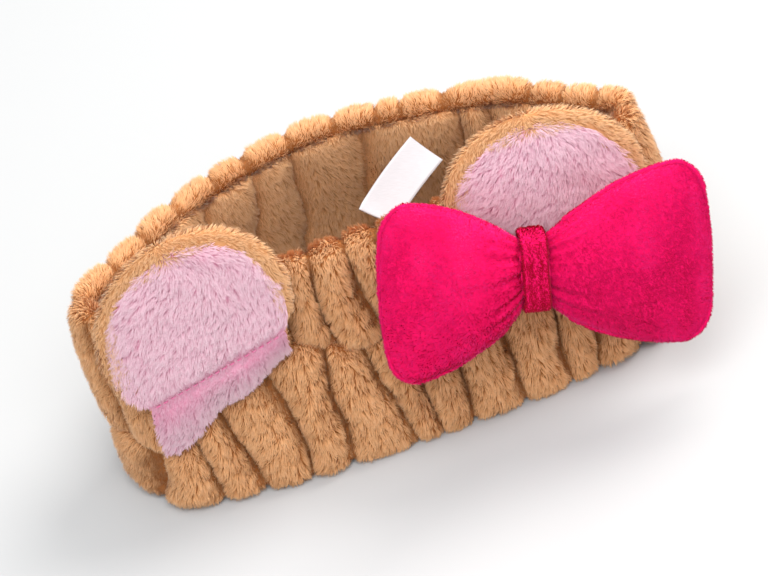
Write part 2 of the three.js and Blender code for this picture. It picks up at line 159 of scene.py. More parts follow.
def noise_2d(x, y, cell, rng, n=64):
    """Smooth noise of about -1 to 1 over a plane, repeating after n cells."""
    knots = rng.uniform(-1, 1, (n, n))
    u, v = np.asarray(x) / cell, np.asarray(y) / cell
    i, j = np.floor(u).astype(int), np.floor(v).astype(int)
    a, b = smooth(0, 1, u - i), smooth(0, 1, v - j)
    k00, k10 = knots[i % n, j % n], knots[(i + 1) % n, j % n]
    k01, k11 = knots[i % n, (j + 1) % n], knots[(i + 1) % n, (j + 1) % n]
    return (k00 * (1 - a) + k10 * a) * (1 - b) + (k01 * (1 - a) + k11 * a) * b


# ---- grids: every soft surface is a grid of points, in millimetres ----
class Grid:
    """A surface of points p[i, j], closed round i and round j where said."""

    def __init__(self, p, loop_i=False, loop_j=False, flip=False):
        self.p = np.asarray(p, float)
        self.loop = (loop_i, loop_j)
        self.n = self.p.shape[:2]
        self.flip = flip
        self.ti = self._along(0)
        self.tj = self._along(1)
        normal = np.cross(self.ti, self.tj)
        self.normal = unit(normal) * (-1 if flip else 1)

    def _along(self, axis):
        if self.loop[axis]:
            d = np.roll(self.p, -1, axis) - np.roll(self.p, 1, axis)
        else:
            d = np.gradient(self.p, axis=axis)
        return unit(d)

    def cells(self):
        """Each cell's two places along i and two along j."""
        ni, nj = self.n
        i = np.arange(ni if self.loop[0] else ni - 1)
        j = np.arange(nj if self.loop[1] else nj - 1)
        i, j = np.meshgrid(i, j, indexing="ij")
        return i, (i + 1) % ni, j, (j + 1) % nj

    def faces(self):
        nj = self.n[1]
        i, i2, j, j2 = self.cells()
        quad = np.stack([i * nj + j, i2 * nj + j, i2 * nj + j2, i * nj + j2], -1).reshape(-1, 4)
        return quad[:, ::-1] if self.flip else quad

    def at(self, field, u, v):
        """field read between the points, at grid places u and v."""
        ni, nj = self.n
        u = u % ni if self.loop[0] else np.clip(u, 0, ni - 1.001)
        v = v % nj if self.loop[1] else np.clip(v, 0, nj - 1.001)
        i, j = np.floor(u).astype(int), np.floor(v).astype(int)
        a, b = u - i, v - j
        i2, j2 = (i + 1) % ni, (j + 1) % nj
        i = i % ni
        j = j % nj
        if field.ndim == 3:
            a, b = a[:, None], b[:, None]
        near = field[i, j] * (1 - a) + field[i2, j] * a
        far = field[i, j2] * (1 - a) + field[i2, j2] * a
        return near * (1 - b) + far * b


def outward_grid(points, row, centre):
    """A grid closed round j, whose normals along one row point away from centre."""
    grid = Grid(points, loop_j=True)
    if np.mean(np.sum(grid.normal[row] * (grid.p[row] - centre), -1)) < 0:
        grid = Grid(points, loop_j=True, flip=True)
    return grid


def cloth_noise(shape, steps, cell, rng):
    """Smooth noise at each point of a grid, whose points are about steps millimetres apart."""
    i, j = np.meshgrid(np.arange(shape[0]) * steps[0], np.arange(shape[1]) * steps[1], indexing="ij")
    return noise_2d(i, j, cell, rng)


def to_mesh(name, p, quads, material):
    """A mesh object from points in millimetres in the ring's frame."""
    mesh = bpy.data.meshes.new(name)
    p = (np.asarray(p, float).reshape(-1, 3) + OFFSET) * MM
    mesh.vertices.add(len(p))
    mesh.vertices.foreach_set("co", p.astype(np.float32).ravel())
    quads = np.asarray(quads)
    k = quads.shape[1]
    mesh.loops.add(len(quads) * k)
    mesh.loops.foreach_set("vertex_index", quads.astype(np.int32).ravel())
    mesh.polygons.add(len(quads))
    mesh.polygons.foreach_set("loop_start", np.arange(len(quads), dtype=np.int32) * k)
    mesh.update(calc_edges=True)
    mesh.validate()
    mesh.shade_smooth()
    obj = bpy.data.objects.new(name, mesh)
    bpy.context.scene.collection.objects.link(obj)
    mesh.materials.append(material)
    return obj


def grid_mesh(name, grid, material):
    return to_mesh(name, grid.p, grid.faces(), material)


# ---- pile ----
def sample(grid, weight, count, rng):
    """count random grid places, spread by area times weight."""
    i, i2, j, j2 = grid.cells()
    p = grid.p
    area = 0.5 * np.linalg.norm(np.cross(p[i2, j2] - p[i, j], p[i, j2] - p[i2, j]), axis=-1)
    w = area * weight[i, j]
    total = np.cumsum(w.ravel())
    pick = np.searchsorted(total, rng.uniform(0, total[-1], count))
    return i.ravel()[pick] + rng.uniform(0, 1, count), j.ravel()[pick] + rng.uniform(0, 1, count), total[-1]


def covered(grid, weight):
    """Area of the grid times weight, in square millimetres."""
    return sample(grid, weight, 1, np.random.default_rng(0))[2]


def clump_centres(scale_i, scale_j, u, v, cell, rng):
    """Nearest jittered clump centre of each place, in grid places, with a random number for it."""
    size_i, size_j = cell / scale_i, cell / scale_j
    n = 512
    jitter = rng.uniform(0.1, 0.9, (n, n, 2))
    number = rng.uniform(0, 1, (n, n))
    ci, cj = np.floor(u / size_i).astype(int), np.floor(v / size_j).astype(int)
    best = np.full(len(u), 1e9)
    out_u, out_v, out_r = u.copy(), v.copy(), np.zeros(len(u))
    for di in (-1, 0, 1):
        for dj in (-1, 0, 1):
            a, b = (ci + di) % n, (cj + dj) % n
            cu = (ci + di + jitter[a, b, 0]) * size_i
            cv = (cj + dj + jitter[a, b, 1]) * size_j
            d = ((u - cu) / size_i) ** 2 + ((v - cv) / size_j) ** 2
            nearer = d < best
            best = np.where(nearer, d, best)
            out_u, out_v = np.where(nearer, cu, out_u), np.where(nearer, cv, out_v)
            out_r = np.where(nearer, number[a, b], out_r)
    return out_u, out_v, out_r


TONES = 64  # steps of light and dark among the strands
STRAND_WIDTH = 0.24
PILE_LENGTH = 3.7
LIGHT = 1.0


def grow(name, grid, material, weight, density, length, comb, rng, lean, clump, pull,
         spread=0.35, tone=None, soft=0.62, floor=0.25, sink=0.4, trim=None, swirl=1.3):
    """Strands of pile on a grid. comb(u, v) gives each strand's way over it, as parts of ti and tj."""
    area = covered(grid, weight)
    count = int(area * density)
    u, v, _ = sample(grid, weight, count, rng)
    step_i = np.median(np.linalg.norm(np.diff(grid.p, axis=0), axis=-1))
    step_j = np.median(np.linalg.norm(np.diff(grid.p, axis=1), axis=-1))
    cu, cv, cr = clump_centres(step_i, step_j, u, v, clump, rng)

    def frame_at(a, b):
        normal = unit(grid.at(grid.normal, a, b))
        way = comb(a, b)
        ti, tj = grid.at(grid.ti, a, b), grid.at(grid.tj, a, b)
        lay = ti * way[:, :1] + tj * way[:, 1:2]
        lay = unit(lay - normal * np.sum(lay * normal, -1, keepdims=True))
        return grid.at(grid.p, a, b), normal, lay

    p, normal, lay = frame_at(u, v)
    pc, nc, lc = frame_at(cu, cv)
    side = np.cross(normal, lay)
    turn = (cr - 0.5) * swirl + rng.normal(0, spread, count)
    lay = lay * np.cos(turn)[:, None] + side * np.sin(turn)[:, None]
    turn_c = ((cr - 0.5) * swirl)[:, None]
    lc = lc * np.cos(turn_c) + np.cross(nc, lc) * np.sin(turn_c)
    long = length * rng.uniform(0.72, 1.12, count) * (0.85 + 0.3 * cr)
    cut = np.ones(count) if trim is None else trim(u, v)
    long = long * cut
    a0 = np.radians(lean[0] + rng.normal(0, 9, count))[:, None]
    a1 = np.radians(lean[1] + rng.normal(0, 9, count))[:, None]
    d0 = normal * np.cos(a0) + lay * np.sin(a0)
    d1 = normal * np.cos(a1) + lay * np.sin(a1)
    root = p - normal * sink
    mid = root + d0 * (long * 0.5)[:, None]
    tip = mid + d1 * (long * 0.5)[:, None]
    a2 = math.radians(0.5 * (lean[0] + lean[1]))
    tuft = pc + (nc * math.cos(a2) + lc * math.sin(a2)) * (length * 0.95 * cut)[:, None]
    reach = np.linalg.norm(tuft - tip, axis=-1, keepdims=True)
    pulled = pull * rng.uniform(0.6, 1.2, (count, 1)) * np.clip(2.2 * clump / np.maximum(reach, 1e-6), 0, 1)
    tip = tip + (tuft - tip) * np.clip(pulled, 0, 0.9)
    mid = lerp(mid, (root + tip) / 2 + normal * (0.12 * long)[:, None], 0.35)
    mid[:, 2] = np.maximum(mid[:, 2], floor)
    tip[:, 2] = np.maximum(tip[:, 2], floor)
    along = unit(tip - root)
    facing = unit(normal + 0.45 * rng.normal(0, 1, (count, 3)))
    across = unit(np.cross(along, facing))
    inward = np.sum(np.cross(across, along) * normal, -1, keepdims=True) < 0
    across = np.where(inward, -across, across)
    half = (0.5 * STRAND_WIDTH * rng.uniform(0.75, 1.25, count))[:, None]
    verts = np.stack([root - across * half, root + across * half, mid - across * half * 0.9,
                      mid + across * half * 0.9, tip], 1)
    own = unit(np.cross(across, along))
    shade = unit(normal * soft + own * (1 - soft))
    tip_shade = unit(shade * 0.8 + along * 0.35)
    normals = np.stack([shade, shade, shade, shade, tip_shade], 1)

    mesh = bpy.data.meshes.new(name)
    mesh.vertices.add(count * 5)
    mesh.vertices.foreach_set("co", ((verts.reshape(-1, 3) + OFFSET) * MM).astype(np.float32).ravel())
    base = (np.arange(count, dtype=np.int32) * 5)[:, None]
    loops = np.concatenate([base + np.array([[0, 1, 3, 2]]), base + np.array([[2, 3, 4]])], 1)
    mesh.loops.add(count * 7)
    mesh.loops.foreach_set("vertex_index", loops.astype(np.int32).ravel())
    mesh.polygons.add(count * 2)
    starts = (np.arange(count, dtype=np.int32) * 7)[:, None] + np.array([[0, 4]])
    mesh.polygons.foreach_set("loop_start", starts.astype(np.int32).ravel())
    mesh.update(calc_edges=True)
    mesh.shade_smooth()
    value = np.clip(0.5 + 0.16 * (cr - 0.5) + rng.normal(0, 0.07, count), 0, 1)
    if tone is not None:
        value = np.clip(value + tone(u, v, p), 0, 1)
    value = (np.floor(value * (TONES - 1)) + 0.5) / TONES
    attribute = mesh.attributes.new("tone", "FLOAT", "POINT")
    attribute.data.foreach_set("value", np.repeat(value, 5).astype(np.float32))
    attribute = mesh.attributes.new("along", "FLOAT", "POINT")
    attribute.data.foreach_set("value", np.tile([0, 0, 0.55, 0.55, 1.0], count).astype(np.float32))
    layer = mesh.uv_layers.new(name="OFBake")
    column = 0.46 / TONES
    du = np.array([-1, 1, 1, -1, -1, 1, 0]) * column
    dv = np.array([0.01, 0.01, 0.55, 0.55, 0.55, 0.55, 0.99])
    uv = np.stack([value[:, None] + du[None], np.repeat(dv[None], count, 0)], -1)
    layer.data.foreach_set("uv", uv.astype(np.float32).ravel())
    mesh.normals_split_custom_set_from_vertices(normals.reshape(-1, 3).astype(np.float32))
    obj = bpy.data.objects.new(name, mesh)
    bpy.context.scene.collection.objects.link(obj)
    mesh.materials.append(material)
    return obj


# ---- materials ----
def srgb(r, g, b):
    def one(c):
        c /= 255
        return c / 12.92 if c <= 0.04045 else ((c + 0.055) / 1.055) ** 2.4
    return (one(r), one(g), one(b), 1.0)


def new_material(name):
    m = bpy.data.materials.new(name)
    m.use_nodes = True
    nodes = m.node_tree.nodes
    return m, nodes, m.node_tree.links, nodes["Principled BSDF"]


def ramp_node(nodes, stops):
    node = nodes.new("ShaderNodeValToRGB")
    elements = node.color_ramp.elements
    while len(elements) < len(stops):
        elements.new(0.5)
    for element, (place, colour) in zip(elements, stops):
        element.position = place
        element.color = colour
    return node


def pile_material(name, along_stops, dark, light, sheen, sheen_tint, roughness=0.75, gloss=0.25):
    """Pile: its colour runs from a darker root to a paler tip, partly the fur's own colour and partly painted
    shade deep in the pile and painted sheen on the tips; each strand is a little darker or lighter.
    """
    m, nodes, links, shader = new_material(name)
    along = nodes.new("ShaderNodeAttribute")
    along.attribute_name = "along"
    tone = nodes.new("ShaderNodeAttribute")
    tone.attribute_name = "tone"
    ramp = ramp_node(nodes, along_stops)
    links.new(along.outputs["Fac"], ramp.inputs["Fac"])
    tint = ramp_node(nodes, [(0.0, dark), (0.5, (1, 1, 1, 1)), (1.0, light)])
    links.new(tone.outputs["Fac"], tint.inputs["Fac"])
    mix = nodes.new("ShaderNodeMix")
    mix.data_type = "RGBA"
    mix.blend_type = "MULTIPLY"
    mix.clamp_result = False
    mix.inputs["Factor"].default_value = 1.0
    links.new(ramp.outputs["Color"], mix.inputs["A"])
    links.new(tint.outputs["Color"], mix.inputs["B"])
    links.new(mix.outputs["Result"], shader.inputs["Base Color"])
    shader.inputs["Roughness"].default_value = roughness
    shader.inputs["Specular IOR Level"].default_value = gloss
    shader.inputs["Sheen Weight"].default_value = sheen
    shader.inputs["Sheen Roughness"].default_value = 0.45
    shader.inputs["Sheen Tint"].default_value = sheen_tint
    return m


def cloth_material(name, colour_a, colour_b, scale, roughness=0.9, bump=0.0, weave=0.0):
    m, nodes, links, shader = new_material(name)
    where = nodes.new("ShaderNodeTexCoord")
    noise = nodes.new("ShaderNodeTexNoise")
    noise.inputs["Scale"].default_value = scale
    noise.inputs["Detail"].default_value = 4
    links.new(where.outputs["Object"], noise.inputs["Vector"])
    ramp = ramp_node(nodes, [(0.35, colour_a), (0.65, colour_b)])
    links.new(noise.outputs["Fac"], ramp.inputs["Fac"])
    links.new(ramp.outputs["Color"], shader.inputs["Base Color"])
    shader.inputs["Roughness"].default_value = roughness
    shader.inputs["Specular IOR Level"].default_value = 0.2
    if bump:
        height = nodes.new("ShaderNodeBump")
        height.inputs["Strength"].default_value = bump
        height.inputs["Distance"].default_value = 0.0004
        grain = nodes.new("ShaderNodeTexNoise")
        grain.inputs["Scale"].default_value = weave
        links.new(where.outputs["Object"], grain.inputs["Vector"])
        links.new(grain.outputs["Fac"], height.inputs["Height"])
        links.new(height.outputs["Normal"], shader.inputs["Normal"])
    return m


# the root-to-tip ramps below are partly the fur's own colour, partly painted shade at the roots and painted
# sheen at the tips
TAN_PILE = pile_material(
    "tan_pile",
    [(0.0, srgb(196, 124, 66)), (0.45, srgb(236, 170, 112)), (0.8, srgb(246, 188, 134)),
     (1.0, srgb(250, 200, 154))],
    (0.4, 0.3, 0.22, 1), (1.02, 1.12, 1.24, 1), 0.3, (1.0, 0.88, 0.75, 1))
PINK_PILE = pile_material(
    "pink_pile",
    [(0.0, srgb(244, 164, 192)), (0.45, srgb(249, 196, 213)), (0.85, srgb(252, 216, 227)),
     (1.0, srgb(253, 228, 236))],
    (0.92, 0.66, 0.78, 1), (1.0, 1.06, 1.04, 1), 0.3, (1.0, 0.9, 0.95, 1))
BOW_PILE = pile_material(
    "bow_pile",
    [(0.0, srgb(222, 3, 78)), (0.5, srgb(232, 7, 94)), (1.0, srgb(238, 20, 112))],
    (0.74, 0.1, 0.52, 1), (1.14, 6.0, 1.7, 1), 0.25, (1.0, 0.3, 0.6, 1), gloss=0.1)
KNOT_PILE = pile_material(
    "knot_pile",
    [(0.0, srgb(174, 0, 36)), (0.6, srgb(180, 0, 40)), (1.0, srgb(190, 2, 48))],
    (0.7, 0.4, 0.6, 1), (1.08, 1.6, 1.3, 1), 0.1, (1.0, 0.3, 0.6, 1), gloss=0.1)
TAN_CLOTH = cloth_material("tan_backing", srgb(156, 92, 46), srgb(176, 110, 60), 300)
# a paler copy of the tan backing; on the lining it is painted light for the loop's shaded inside
PALE_CLOTH = cloth_material("ear_backing", srgb(212, 152, 100), srgb(226, 168, 116), 300)
PINK_CLOTH = cloth_material("pink_backing", srgb(244, 168, 196), srgb(248, 184, 208), 300)
BOW_CLOTH = cloth_material("bow_backing", srgb(236, 4, 92), srgb(244, 10, 102), 300)
ELASTIC = cloth_material("elastic_weave", srgb(214, 208, 198), srgb(238, 234, 228), 500, bump=0.6, weave=900)
WADDING = cloth_material("wadding_fibre", srgb(236, 234, 230), srgb(250, 249, 247), 120, bump=0.8, weave=400)
THREAD_TAN = cloth_material("thread_tan", srgb(170, 118, 72), srgb(196, 142, 92), 900, roughness=0.6)
THREAD_PINK = cloth_material("thread_pink", srgb(236, 120, 165), srgb(244, 150, 188), 900, roughness=0.6)


# ---- the band's rows and lining ----
def catmull(p0, p1, p2, p3, t):
    """The point at t of the way from p1 to p2 on a smooth curve through all four."""
    return 0.5 * (2 * p1 + (p2 - p0) * t + (2 * p0 - 5 * p1 + 4 * p2 - p3) * t**2
                  + (3 * p1 - p0 - 3 * p2 + p3) * t**3)


def even_line(line, n):
    """n points evenly spaced along a line, their distances along it, and its way at each."""
    length = np.concatenate([[0], np.cumsum(np.linalg.norm(np.diff(line, axis=0), axis=1))])
    places = np.linspace(0, length[-1], n)
    line = np.stack([np.interp(places, length, line[:, k]) for k in range(3)], -1)
    return line, places, unit(np.gradient(line, axis=0))


def catmull_loop(points, n):
    """n points round a closed smooth curve through points[..., k, 2], with each one's place among the k."""
    k = points.shape[-2]
    u = np.arange(n) / n * k
    i = np.floor(u).astype(int)
    t = (u - i)[:, None]
    p0, p1 = points[..., (i - 1) % k, :], points[..., i % k, :]
    p2, p3 = points[..., (i + 1) % k, :], points[..., (i + 2) % k, :]
    return catmull(p0, p1, p2, p3, t), u


def gathers(period, low, high, rng):
    """Places of the random valleys round the loop, low to high millimetres apart."""
    places = [0.0]
    while places[-1] < period - low:
        places.append(places[-1] + rng.uniform(low, high) * (1.35 if rng.uniform() < 0.15 else 1))
    places = np.array(places[:-1]) * (period / places[-1])
    return places


def crest_of(s, places, period):
    """0 in a valley, 1 on a ridge's crown, at distances s round the loop, and each place's ridge."""
    s = s % period
    edges = np.concatenate([places, [period]])
    i = np.clip(np.searchsorted(edges, s, side="right") - 1, 0, len(edges) - 2)
    t = (s - edges[i]) / (edges[i + 1] - edges[i])
    return np.clip(np.sin(np.pi * t**0.85), 0, 1) ** 0.72, i


NS = 900
ANGLES, ARC, GIRTH = even_angles(NS)
RING_X = plan(ANGLES, BAND_HEIGHT / 2)[0]
SEAM = seam_height(RING_X, ANGLES < np.pi)


RIM_DIP = 1.1  # how far the valleys draw a row's edge in


def ring_row(control, hidden_out, nv, seed, low, high, slant):
    """A gathered row. control(seam) gives its outline, how far gathers show there, and how far edges dip."""
    rng = np.random.default_rng(seed)
    points, shows, dips = control(SEAM)
    curve, u = catmull_loop(points, nv)
    k = points.shape[-2]
    show = np.interp(u, np.arange(k + 1), np.append(shows, shows[0]))
    dip = np.interp(u, np.arange(k + 1), np.append(dips, dips[0]))
    places = gathers(GIRTH, low, high, rng)
    s = np.repeat(ARC[:, None], nv, 1)
    z = curve[..., 1]
    mid = 0.5 * (z.min() + z.max())
    tilt = noise_1d(ARC, GIRTH, 26, rng)[:, None] * slant + slant * 0.35
    wander = noise_2d(s, z, 16, rng) * 2.6
    crest, cell = crest_of(s + tilt * (z - mid) / 40 + wander, places, GIRTH)
    cell_random = rng.uniform(0, 1, len(places) + 2)
    fullness = 0.86 + 0.28 * cell_random[cell % len(cell_random)]
    fine = 0.5 + 0.5 * noise_2d(s, z, 5, rng)
    lump = noise_2d(s, z, 13, rng)
    puff = curve[..., 0] - hidden_out
    out = hidden_out + puff * lerp(1.0, crest * lerp(1.0, fullness, crest), show)
    out = out + show * (0.55 * lump + 0.35 * (fine - 0.5)) * np.sign(curve[..., 0] - hidden_out + 1e-6)
    z = z + dip * (1 - crest) * RIM_DIP + 0.8 * lump * np.abs(dip)
    p = wall_point(np.repeat(ANGLES[:, None], nv, 1), out, z)
    return p, crest, u, s, z


def stack(columns):
    """Control points from columns that may or may not vary round the loop."""
    return np.stack([np.stack([np.broadcast_to(np.asarray(value, float), SEAM.shape) for value in column], -1)
                     for column in columns], -2)


def lower_control(seam):
    top = seam - 0.4
    points = stack([(0.9, 3.0), (1.6, 1.4), (4.0, 1.7), (6.2, 5.0), (7.2, top * 0.3), (7.3, top * 0.62),
                    (6.4, top - 4.5), (4.4, top - 1.0), (2.0, top), (1.1, top - 4), (1.0, top * 0.5)])
    return (points, [0, 0.1, 0.3, 0.7, 1, 1, 1, 0.8, 0.3, 0, 0],
            [0, 0.6, 1, 0.6, 0.1, 0, 0, -0.2, -0.2, 0, 0])


def upper_control(seam):
    low = seam + 0.4
    tall = BAND_HEIGHT - low
    points = stack([(1.0, low + 4), (2.0, low), (4.4, low + 1.0), (6.5, low + 5), (7.3, low + tall * 0.42),
                    (7.0, low + tall * 0.72), (5.6, BAND_HEIGHT - 4.4), (2.6, BAND_HEIGHT - 1.9),
                    (-1.2, BAND_HEIGHT - 2.4), (-3.2, BAND_HEIGHT - 6.0), (-1.6, BAND_HEIGHT - 9.5),
                    (0.8, BAND_HEIGHT - 12), (1.0, low + tall * 0.5)])
    return (points, [0, 0.3, 0.8, 1, 1, 0.85, 0.4, 0.2, 0.14, 0.2, 0, 0, 0],
            [0, 0.2, 0.2, 0, 0, -0.1, -0.5, -1, -1, -0.5, 0, 0, 0])


def lining_control(seam):
    points = stack([(-0.9, 3.0), (-0.9, 40.0), (-1.0, BAND_HEIGHT - 12), (-2.4, BAND_HEIGHT - 7.5),
                    (-4.6, BAND_HEIGHT - 9.0), (-6.2, BAND_HEIGHT - 16), (-6.8, BAND_HEIGHT - 28),
                    (-6.4, seam + 2), (-6.8, seam * 0.6), (-6.2, 8.0), (-4.2, 2.6), (-2.0, 1.3)])
    return (points, [0, 0, 0, 0.4, 0.9, 1, 1, 1, 1, 0.9, 0.5, 0.2],
            [0, 0, 0, -0.6, -0.5, 0, 0, 0, 0, 0.4, 1, 0.6])


def across_stretch(*objects):
    for obj in objects:
        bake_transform(obj)


PILE_LIMIT = 64000  # strands in one object
PILE_PARTS = 4  # lengths the loop's pile is made in
ROW_SLANT = 8


def band_row(name, control, hidden_out, nv, seed, spacing, visible, comb_angle, density, painted_light, backing):
    """One gathered piece of the loop, with its pile on the outline's places from visible[0] to visible[1]."""
    p, crest, u, s, z = ring_row(control, hidden_out, nv, seed, *spacing, ROW_SLANT)
    grid = Grid(p, loop_i=True, loop_j=True)
    skin = grid_mesh(name, grid, backing)
    rng = np.random.default_rng(seed + 100)
    k0, k1 = visible
    turn_field = noise_2d(s, z, 17, rng) * 0.5 + noise_2d(s, z, 6, rng) * 0.35

    def comb(a, b):
        angle = comb_angle + grid.at(turn_field, a, b)
        return np.stack([np.cos(angle), np.sin(angle)], -1)

    patches = noise_2d(s, z, 9, rng) * 0.07 + noise_2d(s, z, 3.2, rng) * 0.09

    def tone(a, b, at):
        # painted highlight: the pile is lighter towards the top rim, where the light falls from above
        height = 0.12 * smooth(66, 86, at[:, 2])
        # painted shade: the pile is darker in the valleys between the gathers
        valley = 0.62 * (1 - smooth(0.1, 0.8, grid.at(crest, a, b)))
        # painted light: a whole row is made lighter or darker, most of all the lining in the loop's shade
        return grid.at(patches, a, b) - valley + painted_light + height

    def trim(a, b):
        return lerp(0.34, 1.0, smooth(0.1, 0.75, grid.at(crest, a, b)))

    piles = []
    shows = ((u >= k0) & (u <= k1))[None, :]
    for part in range(PILE_PARTS):
        turn = ANGLES / (2 * np.pi) * PILE_PARTS
        weight = np.where(((turn >= part) & (turn < part + 1))[:, None] & shows, 1.0, 0.0)
        dense = min(density, PILE_LIMIT / covered(grid, weight))
        piles.append(grow(f"{name}_pile_{part + 1}", grid, TAN_PILE, weight, dense, PILE_LENGTH, comb, rng,
                          lean=(30, 60), clump=2.0, pull=0.34, spread=0.25, tone=tone, soft=0.82, trim=trim,
                          swirl=0.8))
    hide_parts(f"{name}_front", f"{name}_back")
    across_stretch(skin, *piles)


band_row("lower_row", lower_control, 0.8, 72, 11, (12, 21), (1.0, 8.2), -1.9, 6.5 * LIGHT, 0.0, TAN_CLOTH)
band_row("upper_row", upper_control, 0.8, 84, 12, (13, 22), (1.0, 9.6), -1.9, 6.5 * LIGHT, 0.06, TAN_CLOTH)
# painted light: the lining's pile is lifted to 0.55 and its backing is the paler cloth, for the loop's shaded
# inside
band_row("lining", lining_control, -0.8, 84, 13, (17, 30), (2.6, 11.2), 1.9, 6.0 * LIGHT, 0.55, PALE_CLOTH)


def ring_strip(name, points, nv, material):
    """A plain strip round the loop, inside its rows."""
    curve, _ = catmull_loop(stack(points), nv)
    p = wall_point(np.repeat(ANGLES[::2, None], nv, 1), curve[::2, :, 0], curve[::2, :, 1])
    obj = grid_mesh(name, Grid(p, loop_i=True, loop_j=True), material)
    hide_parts(f"{name}_front", f"{name}_back")
    across_stretch(obj)


def elastic_outline(low, high):
    half = 0.45
    return [(half, low), (half, high), (-half, high), (-half, low)]


ELASTIC_HALF = 7.5
LOWER_MIDDLE = (SEAM + 2) / 2
ring_strip("lower_elastic", elastic_outline(LOWER_MIDDLE - ELASTIC_HALF, LOWER_MIDDLE + ELASTIC_HALF), 16,
           ELASTIC)
ring_strip("upper_elastic", elastic_outline(np.maximum(SEAM + 6, 47.5), 71.5), 16, ELASTIC)
ring_strip("seam_thread", [(2.4, SEAM - 0.4), (2.8, SEAM), (2.4, SEAM + 0.4), (2.0, SEAM)], 8, THREAD_TAN)


# ---- ears ----
def three_euler_zxy(x, y, z):
    return np.array(Matrix.Rotation(z, 3, "Z") @ Matrix.Rotation(x, 3, "X") @ Matrix.Rotation(y, 3, "Y"))


def half_width(h, inset=0.0):
    """Half the ear's width at a height above its crease."""
    widening = (EAR_HALF - CREASE_HALF) * (1 - np.clip(1 - h / EAR_SHOULDER, 0, 1) ** 1.8)
    base = CREASE_HALF - inset + widening
    q = np.clip((h - EAR_SHOULDER) / (EAR_HEIGHT - EAR_SHOULDER - inset), 0, 1)
    return base * np.sqrt(np.clip(1 - q**2.15, 0, 1))


def angle_at(x):
    """The angle on the front of the loop where the wall's middle is at x."""
    fine = np.linspace(np.pi + 1e-3, 2 * np.pi - 1e-3, 4001)
    return np.interp(x, plan(fine, 0.0)[0], fine)


